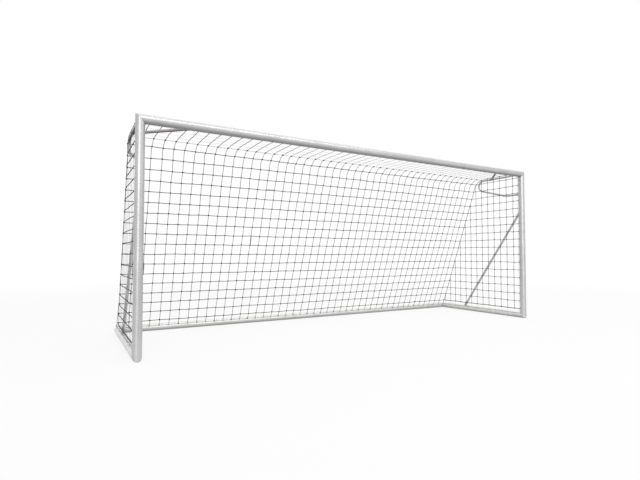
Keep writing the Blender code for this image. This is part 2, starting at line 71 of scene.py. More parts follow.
# Braces and the sleeves that hold the thin tubes
BRACE_RADIUS = 0.015
BRACE_TOP = (0.0, 1.5405)
BRACE_FOOT = (1.067, 0.040)
BRACE_TOP_SETBACK = 0.0970
BRACE_FOOT_SETBACK = 0.0640
CORNER_BRACE_FRONT = (2.022, 0.0, 2.0355)
CORNER_BRACE_REAR = (2.540, 0.510, 2.0405)
CORNER_FRONT_SETBACK = 0.0750
CORNER_REAR_SETBACK = 0.0360
SLEEVE_WALL = 0.0028
THIN_SIDES = 32
THIN_WALL = 0.002
THIN_RIM_ROUNDING = 0.0005
BOW_SLEEVE = 0.075
BRACE_TOP_SLEEVE = 0.125
BRACE_FOOT_SLEEVE = 0.100
CORNER_SLEEVE = 0.100
CLAMP_LENGTH = 0.050
CLAMP_STUB = 0.050
CLAMP_PROUD = 0.0008
WELD_RADIUS = 0.0026
WELD_RISE = 0.0004
WELD_STEPS = 84
WELD_RIPPLE = (0.82, 1.08, 1.12)

# Net, as lines along X and places in the side view
MESH = 0.1097
CORD_RADIUS = 0.0027
ROW_RADIUS = 0.0036
THIN_CORD_RADIUS = 0.0011
EDGE_ROPE_RADII = {"left": 0.0022, "right": 0.0034}
KNOT_RADIUS = 0.0055
KNOT_CORD_RADIUS = 0.0037
THIN_KNOT_RADIUS = 0.0018
SIDE_CORD_RADII = {"left": (0.0011, 0.0039), "right": (0.0029, 0.0030)}
LOWEST_ROW_RADIUS = 0.0048
SHOULDER_CORD_RADIUS = 0.0017
TOP_CORD_RADII = (0.0031, 0.0012)
TOP_CORDS_THIN = (12, 28)
NET_LEFT_X = -2.5615
NET_RIGHT_X = 2.503
LEFT_EDGE_TOP_X = -2.5540
LEFT_EDGE_REAR_X = -2.5465
EDGE_LEANS_FROM = 1.950
EDGE_LEANS_TO = 1.880
LEAN_REACH = 0.10
FIRST_COLUMN_X = -2.545
LAST_COLUMN = 46
SIDE_FIRST_COLUMN = 0.004
SIDE_MESH = 0.1094
SIDE_COLUMNS = 13
FIRST_ROW_Z = 0.129
REAR_ROWS = 17
TOP_ROWS = ((0.110, 2.0605), (0.220, 2.0588), (0.330, 2.0580), (0.4425, 2.0576), (0.5475, 2.0574))
SHOULDER_ROW = (0.6575, 2.0500)
SHOULDER_BENDS = ((0.690, 2.0435), (0.716, 2.0285), (0.737, 2.0090))
CORNER_ROW = (0.752, 1.9910)
CORNER_BENDS = ((0.771, 1.9790), (0.788, 1.9550), (0.799, 1.9220))
REAR_EDGE = ((0.8095, 1.884), (0.9541, 1.500), (1.1394, 1.000), (1.3237, 0.500))
LEAST_END = 0.025
ROW_SAG = 0.0012
KNOT_DRIFT = 0.0028
DEPTH_DRIFT = 0.0025
TAUT_DRIFT = 0.0012
CORD_DRIFT = 0.0008
KNOT_LEAN = (0.6, 1.2)
MAIN_SEED = 11
SIDE_SEEDS = {"left": 23, "right": 37}

# Mended sides of meshes: column, row from the lowest, and whether they run across or up
MENDED_SIDES = ((14, 14, (1, 0)), (13, 8, (0, 1)), (2, 5, (0, 1)))
MENDING_ASIDE = 0.0042
MENDING_FORWARD = 0.0020

# Ropes and hooks, as distances from the axis of the tube that they follow
ROPE_RADIUS = 0.0027
ROPE_REACH = 0.0473
CROSSBAR_ROPE_RISE = 0.0235
REAR_ROPE_RISE = 0.0255
ROPE_PULL = 0.003
ROPE_LEAVES_POST = 1.955
ROPE_UNDER_CROSSBAR = (0.0468, 2.0334)
ROPE_LEAVES_BAR = 1.400
ROPE_LIFTS_AT = -2.480
ROPE_OVER_BAR = (-2.535, 0.0880)
ROPE_LEFT_CORNER_Z = 0.0835
ROPE_END_GAP = 0.0055
ROPE_ROUNDING = 0.008
EDGE_ROPE_ROUNDING = 0.006
ROPE_KNOT_SHIFTS = ((0, -0.004, 0.006), (0, 0.004, 0.006))
ROPE_KNOT_WAY = (0.3, 0.6, 0.8)
ROPE_KNOT_RADIUS = 0.0046
LASHING_BITE = CORD_RADIUS - 0.0005
HOOK_STEP = 2 * MESH
BAR_HOOKS = 23
POST_HOOKS = 9
GROUND_BAR_HOOKS = 6
HOOK_WIDTH = 0.008
HOOK_ROUNDING = 0.0006
HOOK_EDGE_ANGLE = math.radians(50)
PAD_WIDTH = 0.020
PAD_RADII = (0.0402, 0.0427)
PAD_ANGLES = [math.radians(angle) for angle in (-13, -8, -3, 3, 8, 13)]

# Border rope beside the posts by side, as X and reach, and its side-view places at crossbar and rear bar
SIDE_ROPES = {
    side: (x, math.sqrt(ROPE_REACH ** 2 - (abs(x) - POST_X) ** 2))
    for side, x in (("left", NET_LEFT_X), ("right", NET_RIGHT_X))}
CROSSBAR_ROPE = Vector((
    math.sqrt(ROPE_REACH ** 2 - CROSSBAR_ROPE_RISE ** 2), CROSSBAR_Z + CROSSBAR_ROPE_RISE))
REAR_ROPE = Vector((
    AXIS_DEPTH - math.sqrt(ROPE_REACH ** 2 - REAR_ROPE_RISE ** 2), GROUND_Z + REAR_ROPE_RISE))
NET_BENDS = (*TOP_ROWS, SHOULDER_ROW, *SHOULDER_BENDS, CORNER_ROW, *CORNER_BENDS, *REAR_EDGE)
NET_OUTLINE = [CROSSBAR_ROPE, *map(Vector, NET_BENDS), REAR_ROPE]

# Outline of a hook, sideways and outward from the axis of its tube
HOOK_OUTLINE = (
    (-0.0072, 0.0420), (-0.0074, 0.0500), (-0.0066, 0.0527), (-0.0042, 0.0538), (0.0030, 0.0538),
    (0.0050, 0.0528), (0.0056, 0.0508), (0.0052, 0.0496), (0.0038, 0.0500), (0.0030, 0.0510),
    (-0.0026, 0.0510), (-0.0038, 0.0498), (-0.0040, 0.0436), (0.0020, 0.0434), (0.0040, 0.0420),
)

# Studio: the floor whitens from one distance and share to the next; lamps by place, aim, size and power
WORLD_LIGHT = 0.50
FLOOR_SIZE = 160
FLOOR_WHITENS = (4.0, 12.0, 0.84, 1.0)
LAMPS = {
    "left_softbox": ((-16.3, -36.5, 13.0), (0.0, 0.0, 1.0), (15.0, 27.0), 4300),
    "right_softbox": ((5.5, -8.5, 3.0), (1.5, 0.0, 1.2), (8.0, 5.6), 32),
    "top_softbox": ((0.0, -6.0, 7.4), (0.0, 0.0, 1.5), (9.0, 3.4), 230),
    "overhead_softbox": ((3.0, 1.5, 9.0), (3.0, 0.5, 1.0), (18.0, 8.0), 270),
}

# Camera, solved from the goal's corners in the photograph
CAMERA_PLACE = (-3.055, -4.693, 0.883)
CAMERA_TURN = [math.radians(angle) for angle in (92.02, 0.0, -30.06)]
CAMERA_LENS = 24.55

X_AXIS = Vector((1, 0, 0))
Y_AXIS = Vector((0, 1, 0))
Z_AXIS = Vector((0, 0, 1))
SIDES = {"left": -1, "right": 1}


class Link:
    """Output of a shader node that takes part in arithmetic."""

    def __init__(self, nodes, socket):
        self.nodes = nodes
        self.socket = socket

    def maths(self, operation, *values):
        return self.nodes.node("Math", dict(enumerate(values)), {"operation": operation})

    def __add__(self, other):
        return self.maths("ADD", self, other)

    def __radd__(self, other):
        return self.maths("ADD", other, self)

    def __sub__(self, other):
        return self.maths("SUBTRACT", self, other)

    def __rsub__(self, other):
        return self.maths("SUBTRACT", other, self)

    def __mul__(self, other):
        return self.maths("MULTIPLY", self, other)

    def __rmul__(self, other):
        return self.maths("MULTIPLY", other, self)


class Nodes:
    """Node tree that is written as expressions."""

    def __init__(self, tree):
        self.tree = tree

    def put(self, socket, value):
        """Links or sets one input."""
        if isinstance(value, Link):
            self.tree.links.new(value.socket, socket)
        else:
            socket.default_value = value

    def node(self, kind, values, settings=None, output=0):
        """Any node, from its type, the values or links of its sockets, and its settings."""
        made = self.tree.nodes.new("ShaderNode" + kind)
        for setting, value in (settings or {}).items():
            setattr(made, setting, value)
        for key, value in values.items():
            self.put(made.inputs[key], value)
        return Link(self, made.outputs[output])

    def stretched(self, place, scale):
        return self.node("Mapping", {"Vector": place, "Scale": scale})

    def noise(self, place, scale, detail=2.0, roughness=0.5):
        values = {"Vector": place, "Scale": scale, "Detail": detail, "Roughness": roughness}
        return self.node("TexNoise", values)

    def ramp(self, value, start, end, low=0.0, high=1.0):
        """Value taken smoothly from one range to another."""
        values = {"Value": value, "From Min": start, "From Max": end, "To Min": low, "To Max": high}
        return self.node("MapRange", values, {"interpolation_type": "SMOOTHSTEP"})

    def mix(self, first, second, share):
        """Colour between two colours."""
        values = {0: share, 6: first, 7: second}
        return self.node("Mix", values, {"data_type": "RGBA"}, output=2)

    def axis(self, vector, letter):
        return self.node("SeparateXYZ", {0: vector}, output=letter)

    def surface(self, colour, roughness, metallic, relief, depth, strength):
        """Feeds the shader, its normal from a relief of some depth in metres."""
        shader = self.tree.nodes["Principled BSDF"].inputs
        self.put(shader["Base Color"], colour)
        self.put(shader["Roughness"], roughness)
        self.put(shader["Metallic"], metallic)
        values = {"Height": relief, "Distance": depth, "Strength": strength}
        self.put(shader["Normal"], self.node("Bump", values, output="Normal"))


def finish(name):
    """New material, its nodes and its place on the object."""
    made = bpy.data.materials.new(name)
    made.use_nodes = True
    nodes = Nodes(made.node_tree)
    return made, nodes, nodes.node("TexCoord", {}, output="Object")


def tone(red, green, blue):
    return (red, green, blue, 1.0)


def drawn_aluminium(name, along, colour, shade, painted_top_light, below, roughness, grime):
    """Drawn and anodised aluminium: fine lines along the tube, clouding, scuffs, and dust near the ground.

    Faces turned up near the ground get a painted highlight, lightened to the top colour, and faces turned
    down get painted shade, darkened to the colour below.
    """
    made, nodes, place = finish(name)
    lines = nodes.stretched(place, [1.5 if axis == along else 420.0 for axis in range(3)])
    grain = nodes.noise(lines, 1.0, 3.0, 0.6)
    scratch_place = nodes.stretched(place, [9.0 if axis == along else 160.0 for axis in range(3)])
    scratches = nodes.ramp(nodes.noise(scratch_place, 1.0, 1.0), 0.68, 0.74)
    cloud = nodes.noise(place, 3.2, 4.0, 0.55)
    spots = nodes.ramp(nodes.noise(place, 38.0, 5.0, 0.65), 0.56, 0.70)
    height = nodes.axis(place, "Z")
    low = nodes.ramp(height, 0.34, 0.02)
    dust = low * nodes.ramp(nodes.noise(place, 16.0, 5.0, 0.6), 0.42, 0.66) * grime
    cloudy = nodes.mix(colour, shade, nodes.ramp(cloud, 0.35, 0.70))
    upright = nodes.axis(nodes.node("NewGeometry", {}, output="Normal"), "Z")
    # Painted highlight: faces turned up near the ground are lightened, standing in for light from above
    wear_and_painted_highlight = nodes.ramp(upright, -0.35, 0.20) * nodes.ramp(height, 0.30, 0.10)
    # Painted shade: faces turned down are darkened towards the colour below
    painted_light_and_shade = nodes.mix(nodes.mix(cloudy, painted_top_light, wear_and_painted_highlight), below, nodes.ramp(upright, -0.15, -1.0))
    marked = nodes.mix(painted_light_and_shade, tone(0.30, 0.29, 0.28), spots * 0.11 + scratches * 0.08)
    dusty = nodes.mix(marked, tone(0.33, 0.29, 0.24), dust)
    worn = nodes.ramp(cloud, 0.3, 0.8) * 0.08 + spots * 0.10 + scratches * 0.10 + dust * 0.35
    rough = worn + grain * 0.08 + (roughness - 0.04)
    relief = grain * 0.3 + spots * 0.4 - scratches * 0.7
    nodes.surface(dusty, rough, 0.86 - dust * 0.6, relief, 0.00008, 0.5)
    return made


def welded_aluminium():
    """Sleeves and weld beads: a greyer skin with a fine pitted grain and a brown heat tint."""
    made, nodes, place = finish("welded_aluminium")
    grain = nodes.noise(place, 520.0, 3.0, 0.6)
    cloud = nodes.noise(place, 26.0, 4.0, 0.6)
    tint = nodes.ramp(nodes.noise(place, 60.0, 2.0), 0.52, 0.72)
    grey = nodes.mix(tone(0.50, 0.49, 0.49), tone(0.36, 0.35, 0.35), nodes.ramp(cloud, 0.35, 0.68))
    browned = nodes.mix(grey, tone(0.34, 0.28, 0.23), tint * 0.25)
    rough = 0.38 + cloud * 0.14 + grain * 0.06
    nodes.surface(browned, rough, 0.85 - tint * 0.15, grain + cloud * 0.6, 0.00020, 0.6)
    return made


def cast_aluminium():
    """Joints inside the tubes, left as cast."""
    made, nodes, place = finish("cast_aluminium")
    grain = nodes.noise(place, 340.0, 4.0, 0.65)
    grey = nodes.mix(tone(0.46, 0.46, 0.47), tone(0.34, 0.34, 0.35), nodes.noise(place, 22.0, 3.0))
    nodes.surface(grey, 0.50 + grain * 0.22, 0.70, grain, 0.00035, 0.7)
    return made


def zinc_steel():
    """Zinc-plated screws, blue-grey with a faint yellow bloom."""
    made, nodes, place = finish("zinc_steel")
    bloom = nodes.ramp(nodes.noise(place, 150.0, 3.0), 0.42, 0.68)
    grain = nodes.noise(place, 900.0, 2.0)
    plating = nodes.mix(tone(0.52, 0.54, 0.57), tone(0.56, 0.52, 0.42), bloom * 0.5)
    nodes.surface(plating, 0.28 + bloom * 0.16, 0.95, grain, 0.00005, 0.5)
    return made


def moulded_plastic():
    """Pale nylon of the net hooks: a fine moulded grain, duller where it is rubbed."""
    made, nodes, place = finish("moulded_plastic")
    grain = nodes.noise(place, 1400.0, 2.0)
    wear_and_painted_highlight = nodes.ramp(nodes.noise(place, 90.0, 4.0, 0.6), 0.50, 0.72)
    pale = nodes.mix(tone(0.66, 0.66, 0.66), tone(0.50, 0.49, 0.48), wear_and_painted_highlight * 0.6)
    nodes.surface(pale, 0.46 + wear_and_painted_highlight * 0.16 + grain * 0.06, 0.0, grain, 0.00006, 0.5)
    return made


def twisted_twine(name, pitch, groove, strand, faded):
    """Twisted twine: lay lines round the cord, loose fibres, and sun-faded stretches."""
    made, nodes, place = finish(name)
    lay = nodes.node("UVMap", {}, {"uv_map": "lay"})
    turn = (nodes.axis(lay, "Y") * (1.0 / pitch) + nodes.axis(lay, "X") * 3.0) * (2 * math.pi)
    strands = nodes.node("Math", {0: turn}, {"operation": "SINE"}) * 0.5 + 0.5
    fibre = nodes.noise(place, 1800.0, 3.0, 0.7)
    fade = nodes.ramp(nodes.noise(place, 5.0, 4.0, 0.6), 0.42, 0.72)
    sunned = nodes.mix(nodes.mix(groove, strand, strands), faded, fade * 0.55 + fibre * 0.15)
    nodes.surface(sunned, 0.74 + fibre * 0.20, 0.0, strands + fibre * 0.35, 0.00035, 0.7)
    return made


def point(x, behind, z):
    """Place given by its distance behind the post axis."""
    return Vector((x, FRONT_Y + behind, z))


def across_any(axis):
    """Direction square to an axis."""
    return axis.cross(X_AXIS if abs(axis.x) < 0.9 else Y_AXIS).normalized()


def standing(place, way):
    """Matrix with its origin at a place and its Z along a direction."""
    across = across_any(way)
    turn = Matrix((across, way.cross(across), way)).transposed()
    return Matrix.Translation(place) @ turn.to_4x4()


def held(value, start, end, low, high):
    """Value taken from one range to another, and held at the ends."""
    share = (value - start) / (end - start)
    return low + (high - low) * min(max(share, 0.0), 1.0)


def toward(start, end, distance):
    """Place a distance along the line from one side-view place to another."""
    return start + (end - start).normalized() * distance


def linked(name, data):
    """New object in the scene."""
    piece = bpy.data.objects.new(name, data)
    bpy.context.scene.collection.objects.link(piece)
    return piece


def named(piece, name):
    """Names an object and its mesh."""
    piece.name = name
    piece.data.name = name
    return piece


def primitive(kind, name, place=None, **sizes):
    """New primitive, alone selected, at its place in its mesh."""
    bpy.ops.object.select_all(action="DESELECT")
    getattr(bpy.ops.mesh, f"primitive_{kind}_add")(**sizes)
    piece = named(bpy.context.object, name)
    if place:
        piece.matrix_world = place
        bpy.ops.object.transform_apply(location=True, rotation=True, scale=True)
    return piece


def open_tube(name, start, end, radius, sides=THIN_SIDES, past=0.0):
    """Round tube without ends or wall, from one place to another and past both."""
    way = end - start
    return primitive(
        "cylinder", name, standing((start + end) / 2, way.normalized()), vertices=sides, radius=radius,
        depth=way.length + 2 * past, end_fill_type="NOTHING")


def pick(piece, wanted):
    """Goes into edit mode with only the faces selected that are wanted by their middle and normal."""
    bpy.ops.object.mode_set(mode="EDIT")
    bpy.ops.mesh.select_mode(type="FACE")
    bpy.ops.mesh.select_all(action="DESELECT")
    shape = bmesh.from_edit_mesh(piece.data)
    for face in shape.faces:
        face.select_set(wanted(face.calc_center_median(), face.normal))
    bmesh.update_edit_mesh(piece.data)


def move_picked(piece, where):
    """Moves the points of the selected faces to where a function puts them."""
    shape = bmesh.from_edit_mesh(piece.data)
    for vert in {vert for face in shape.faces if face.select for vert in face.verts}:
        vert.co = where(vert.co)
    bmesh.update_edit_mesh(piece.data)


def modified(piece, kind, **settings):
    """Adds a modifier and applies it."""
    modifier = piece.modifiers.new(kind.lower(), kind)
    for setting, value in settings.items():
        setattr(modifier, setting, value)
    bpy.ops.object.modifier_apply(modifier=modifier.name)


def softened(piece, width, segments=2, angle=SMOOTH_ANGLE):
    """Rounds the sharp edges and smooths the rest."""
    modified(
        piece, "BEVEL", width=width, segments=segments, limit_method="ANGLE", angle_limit=angle,
        harden_normals=False)
    bpy.ops.object.shade_smooth_by_angle(angle=angle)


def walled(piece, wall, rounding, segments=1):
    """Gives an open tube its wall, inwards, and rounds its rims."""
    modified(piece, "SOLIDIFY", thickness=wall, offset=-1.0)
    softened(piece, rounding, segments)
    return piece


def alone(piece):
    """Selects one object and makes it the active one."""
    bpy.ops.object.select_all(action="DESELECT")
    piece.select_set(True)
    bpy.context.view_layer.objects.active = piece


def joined(name, pieces):
    """One object from several."""
    alone(pieces[0])
    for piece in pieces[1:]:
        piece.select_set(True)
    bpy.ops.object.join()
    return named(pieces[0], name)


def copied(model, name, place):
    """Copy of a modelled piece with its own mesh, moved in its mesh."""
    mesh = model.data.copy()
    mesh.transform(place)
    return named(linked(name, mesh), name)


def finished(piece, material, slot, *nodes):
    """Gives a piece its finish, its body and the nodes that it stands for."""
    piece.data.materials.clear()
    piece.data.materials.append(material)
    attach(piece, "root")
    if nodes:
        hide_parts(*nodes)
    return piece


def mitred_tube(name, ends, across):
    """Frame tube with a wall, cut at each end by the mitre towards its across direction."""
    start, end = ends
    way = (end - start).normalized()
    piece = open_tube(name, start, end, TUBE_RADIUS, TUBE_SIDES, TUBE_RADIUS)
    for corner, outward, side in ((start, -way, across[0]), (end, way, across[1])):
        plane = (outward + side).normalized()
        bpy.ops.object.mode_set(mode="EDIT")
        bpy.ops.mesh.select_all(action="SELECT")
        bpy.ops.mesh.bisect(
            plane_co=corner - outward * FIT_GAP, plane_no=plane, clear_outer=True, use_fill=False)
        bpy.ops.object.mode_set(mode="OBJECT")
    return walled(piece, TUBE_WALL, RIM_ROUNDING)


def build_frame(tubes):
    """The six tubes of the frame."""
    bars = {}
    for node, depth, height, across in (
            ("crossbar", 0, CROSSBAR_Z, -Z_AXIS), ("rear_ground_bar", AXIS_DEPTH, GROUND_Z, -Y_AXIS)):
        bars[node] = ((point(-POST_X, depth, height), point(POST_X, depth, height)), (across, across), 0)
    for side, sign in SIDES.items():
        foot = point(sign * POST_X, 0, GROUND_Z)
        top = point(sign * POST_X, 0, CROSSBAR_Z)
        rear = point(sign * POST_X, AXIS_DEPTH, GROUND_Z)
        bars[side + "_post"] = ((foot, top), (Y_AXIS, -sign * X_AXIS), 2)
        bars[side + "_ground_bar"] = ((foot, rear), (Z_AXIS, -sign * X_AXIS), 1)
    for node, (ends, across, along) in bars.items():
        finished(mitred_tube(node + "_tube", ends, across), tubes[along], "satin_tube", node)


def screw_model():
    """Button-head screw with a six-sided recess, its seat at the origin and its head along Z."""
    screw = primitive(
        "cylinder", "screw_model", vertices=24, radius=SCREW_HEAD_RADIUS, depth=SCREW_HEAD_HEIGHT,
        location=(0, 0, SCREW_HEAD_HEIGHT / 2))
    bpy.ops.object.transform_apply(location=True)
    for number, (rise, radius) in enumerate(SCREW_HEAD_RINGS):
        pick(screw, lambda middle, normal: normal.z > 0.9)
        if number:
            bpy.ops.mesh.inset(thickness=SCREW_RING_INSET)
        reach = SCREW_HEAD_RADIUS * radius
        move_picked(screw, lambda spot: (*(spot.xy.normalized() * reach), SCREW_HEAD_HEIGHT * rise))
    bpy.ops.mesh.inset(thickness=SCREW_RING_INSET)

    def six_sided(spot):
        angle = math.atan2(spot.y, spot.x)
        reach = SCREW_RECESS_HALF / math.cos(angle % (math.pi / 3) - math.pi / 6)
        return (reach * math.cos(angle), reach * math.sin(angle), SCREW_HEAD_HEIGHT)

    move_picked(screw, six_sided)
    bpy.ops.mesh.extrude_region_move(TRANSFORM_OT_translate={"value": (0, 0, -SCREW_RECESS_DEPTH)})
    pick(screw, lambda middle, normal: normal.z < -0.9 and middle.z < 0.0001)
    bpy.ops.mesh.inset(thickness=SCREW_HEAD_RADIUS - SCREW_SHANK_RADIUS)
    bpy.ops.mesh.extrude_region_move(TRANSFORM_OT_translate={"value": (0, 0, -SCREW_LENGTH)})
    bpy.ops.object.mode_set(mode="OBJECT")
    bpy.ops.object.shade_smooth_by_angle(angle=SMOOTH_ANGLE)
    return screw


def build_joint_screws(model, steel):
    """Two screws at each corner joint."""
    below = Vector((0, math.cos(SCREW_TILT), -math.sin(SCREW_TILT)))
    for side, sign in SIDES.items():
        inward = -sign * X_AXIS
        joints = (
            ("top", point(sign * POST_X, 0, CROSSBAR_Z), (inward, -Z_AXIS), (below, Y_AXIS)),
            ("foot", point(sign * POST_X, 0, GROUND_Z), (Z_AXIS, Y_AXIS), (Y_AXIS, inward)),
            ("rear", point(sign * POST_X, AXIS_DEPTH, GROUND_Z), (-Y_AXIS, inward), (inward, -Y_AXIS)),
        )
        for place, corner, legs, outward in joints:
            for number, (leg, out) in enumerate(zip(legs, outward), start=1):
                seat = standing(corner + leg * SCREW_STEP + out * SCREW_SEAT, out)
                node = f"{side}_{place}_joint_screw_{number}"
                finished(copied(model, node + "_head", seat), steel, "screw", node)


def swept_line(name, points, radius, resolution=5, closed=False, radii=None):
    """Round bar along a line of points, as a mesh."""
    curve = bpy.data.curves.new(name, "CURVE")
    curve.dimensions = "3D"
    curve.bevel_depth = radius
    curve.bevel_resolution = resolution
    curve.use_fill_caps = not closed
    spline = curve.splines.new("POLY")
    spline.points.add(len(points) - 1)
    for number, (spot, place) in enumerate(zip(spline.points, points)):
        spot.co = (*place, 1.0)
        spot.radius = radii[number] if radii else 1.0
    spline.use_cyclic_u = closed
    alone(linked(name, curve))
    bpy.ops.object.convert(target="MESH")
    piece = named(bpy.context.object, name)
    bpy.ops.object.mode_set(mode="EDIT")
    bpy.ops.mesh.select_all(action="SELECT")
    bpy.ops.mesh.remove_doubles(threshold=0.00001)
    bpy.ops.mesh.normals_make_consistent(inside=False)
    bpy.ops.object.mode_set(mode="OBJECT")
    bpy.ops.object.shade_smooth_by_angle(angle=SMOOTH_ANGLE)
    return piece


def rounded(points, reach, steps=4):
    """Points of an open line with each of its corners rounded."""
    line = [points[0]]
    for before, corner, after in zip(points, points[1:], points[2:]):
        enter = corner + (before - corner).normalized() * reach
        leave = corner + (after - corner).normalized() * reach
        for step in range(steps + 1):
            share = step / steps
            line.append(enter.lerp(corner, share).lerp(corner.lerp(leave, share), share))
    return line + [points[-1]]


def bow_line(x):
    """Centre line of a net bow."""
    centre = Vector((0, *BOW_BEND_CENTRE))
    bend = []
    for step in range(BOW_BEND_STEPS + 1):
        angle = math.radians(90 + (BOW_BEND_END - 90) * step / BOW_BEND_STEPS)
        bend.append(centre + BOW_BEND_RADIUS * Vector((0, math.cos(angle), math.sin(angle))))
    lower_end = Vector((0, BOW_START, BOW_KINK[1]))
    lower = rounded([bend[-1], Vector((0, *BOW_KINK)), lower_end], BOW_KINK_ROUNDING, 8)
    line = [Vector((0, BOW_START, BOW_TOP_Z))] + bend + lower[1:]
    return [point(x, place.y, place.z) for place in line]


def reach_out(start, way, carriers):
    """Place where a line leaves the outermost of the tubes that carry it, or their mitre past both ends."""
    beside = []
    past = []
    for axis_start, axis, radius in carriers:
        across = way - axis * way.dot(axis)
        offset = start - axis_start
        found = past if offset.dot(axis) < 0 else beside
        offset -= axis * offset.dot(axis)
        square, linear = across.dot(across), across.dot(offset)
        spare = max(linear ** 2 - square * (offset.dot(offset) - radius ** 2), 0.0)
        found.append((math.sqrt(spare) - linear) / square)
    return start + way * (max(beside) if beside else min(past))


def sleeve(name, start, end, bore, carriers, metal, *nodes):
    """Welded sleeve with its foot shaped to what carries it, and its weld bead."""
    way = (end - start).normalized()
    length = (end - start).length
    outer = bore + FIT_GAP + SLEEVE_WALL
    piece = open_tube(name, start, end, outer)
    for vert in piece.data.vertices:
        along = (vert.co - start).dot(way)
        if along < length / 2:
            vert.co = reach_out(vert.co - way * along, way, carriers)
    walled(piece, SLEEVE_WALL, RIM_ROUNDING, 2)
    across = across_any(way)
    beside = way.cross(across)
    bead = []
    for step in range(WELD_STEPS):
        angle = 2 * math.pi * step / WELD_STEPS
        spread = across * math.cos(angle) + beside * math.sin(angle)
        bead.append(reach_out(start + spread * (outer + WELD_RISE), way, carriers))
    ripple = [WELD_RIPPLE[step % len(WELD_RIPPLE)] for step in range(WELD_STEPS)]
    weld = swept_line(name + "_weld", bead, WELD_RADIUS, 2, True, ripple)
    return finished(joined(name, [piece, weld]), metal, "fitting", *nodes)


def straight_bar(name, start, end, radius):
    """Thin tube with a wall and rounded rims."""
    return walled(open_tube(name, start, end, radius), THIN_WALL, THIN_RIM_ROUNDING)


def set_screw(model, name, place, outward, steel):
    """Small screw that pins a thin tube in its sleeve."""
    seat = standing(place, outward) @ Matrix.Scale(SET_SCREW_SCALE, 4)
    finished(copied(model, name, seat), steel, "screw")


def socket(node, start, way, length, bore, carriers, pinned, metals, screw):
    """Sleeve for the end of a thin tube, and the set screw that holds the tube in it."""
    sleeve(node + "_sleeve", start, start + way * length, bore, carriers, metals["welded"], node)
    pin = start + way * (length - SET_SCREW_SETBACK) + pinned * (bore + FIT_GAP + SLEEVE_WALL)
    set_screw(screw, node + "_set_screw", pin, pinned, metals["steel"])


def build_side(side, sign, metals, screw):
    """Net bow, side brace and corner brace of one side, with their sleeves."""
    x = sign * POST_X
    inside = -sign * X_AXIS
    post = (point(x, 0, CROSSBAR_Z), -Z_AXIS, TUBE_RADIUS)
    crossbar = (point(x, 0, CROSSBAR_Z), inside, TUBE_RADIUS)
    ground_bar = (point(x, 0, GROUND_Z), Y_AXIS, TUBE_RADIUS)
    top, foot = point(x, *BRACE_TOP), point(x, *BRACE_FOOT)
    down = (foot - top).normalized()
    front = point(sign * CORNER_BRACE_FRONT[0], *CORNER_BRACE_FRONT[1:])
    rear = point(sign * CORNER_BRACE_REAR[0], *CORNER_BRACE_REAR[1:])
    back = (rear - front).normalized()

    bow = swept_line(f"{side}_bow_tube", bow_line(x), BOW_RADIUS, 8)
    # The left bow takes the shaded copy, its darker tone painted shade
    finished(bow, metals["shaded_copy" if side == "left" else "pale"], "thin_tube", f"{side}_net_bow")
    for part, height, carriers in (("top", BOW_TOP_Z, (post, crossbar)), ("lower", BOW_KINK[1], (post,))):
        socket(
            f"{side}_bow_{part}_socket", point(x, 0, height), Y_AXIS, BOW_SLEEVE, BOW_RADIUS, carriers,
            -Z_AXIS, metals, screw)

    brace = straight_bar(
        f"{side}_brace_tube", top + down * BRACE_TOP_SETBACK, foot - down * BRACE_FOOT_SETBACK, BRACE_RADIUS)
    finished(brace, metals["pale"], "thin_tube", f"{side}_side_brace")
    for part, start, way, length, carrier in (
            ("top", top, down, BRACE_TOP_SLEEVE, post),
            ("foot", foot, -down, BRACE_FOOT_SLEEVE, ground_bar)):
        socket(
            f"{side}_brace_{part}_socket", start, way, length, BRACE_RADIUS, (carrier,), inside, metals,
            screw)

    brace = straight_bar(
        f"{side}_corner_brace_tube", front + back * CORNER_FRONT_SETBACK, rear - back * CORNER_REAR_SETBACK,
        BOW_RADIUS)
    # The corner braces take the shaded copy, its darker tone painted shade
    finished(brace, metals["shaded_copy"], "thin_tube", f"{side}_corner_brace")
    socket(
        f"{side}_corner_brace_socket", front, back, CORNER_SLEEVE, BOW_RADIUS, (crossbar,), -Z_AXIS,
        metals, screw)

    half = Y_AXIS * CLAMP_LENGTH / 2
    outer = BOW_RADIUS + FIT_GAP + SLEEVE_WALL + CLAMP_PROUD
    ring = straight_bar(f"{side}_clamp_ring", rear - half, rear + half, outer)
    clamped = ((rear - half * 4, Y_AXIS, outer),)
    stub = sleeve(
        f"{side}_clamp_stub", rear, rear - back * CLAMP_STUB, BOW_RADIUS, clamped, metals["welded"])
    clamp = joined(f"{side}_brace_clamp_ring", [ring, stub])
    finished(clamp, metals["welded"], "fitting", f"{side}_brace_clamp")
    set_screw(screw, f"{side}_clamp_set_screw", rear + Z_AXIS * outer, Z_AXIS, metals["steel"])


def hook_model():
    """C hook on a pad that fits the tube: X along the tube from its axis, Y sideways and Z outward."""
    near, far = PAD_RADII
    pad = [(near * math.sin(angle), near * math.cos(angle)) for angle in PAD_ANGLES]
    pad += [(far * math.sin(angle), far * math.cos(angle)) for angle in PAD_ANGLES[::-1]]
    pieces = []
    for name, outline, width in (("hook_arm", HOOK_OUTLINE, HOOK_WIDTH), ("hook_pad", pad, PAD_WIDTH)):
        piece = primitive("circle", name, vertices=len(outline), radius=0.01, fill_type="NGON")
        for vert, (side, out) in zip(piece.data.vertices, outline):
            vert.co = (-width / 2, side, out)
        pick(piece, lambda middle, normal: True)
        bpy.ops.mesh.extrude_region_move(TRANSFORM_OT_translate={"value": (width, 0, 0)})
        bpy.ops.mesh.select_all(action="SELECT")
        bpy.ops.mesh.normals_make_consistent(inside=False)
        bpy.ops.object.mode_set(mode="OBJECT")
        softened(piece, HOOK_ROUNDING, 1, HOOK_EDGE_ANGLE)
        pieces.append(piece)
    return joined("hook_model", pieces)


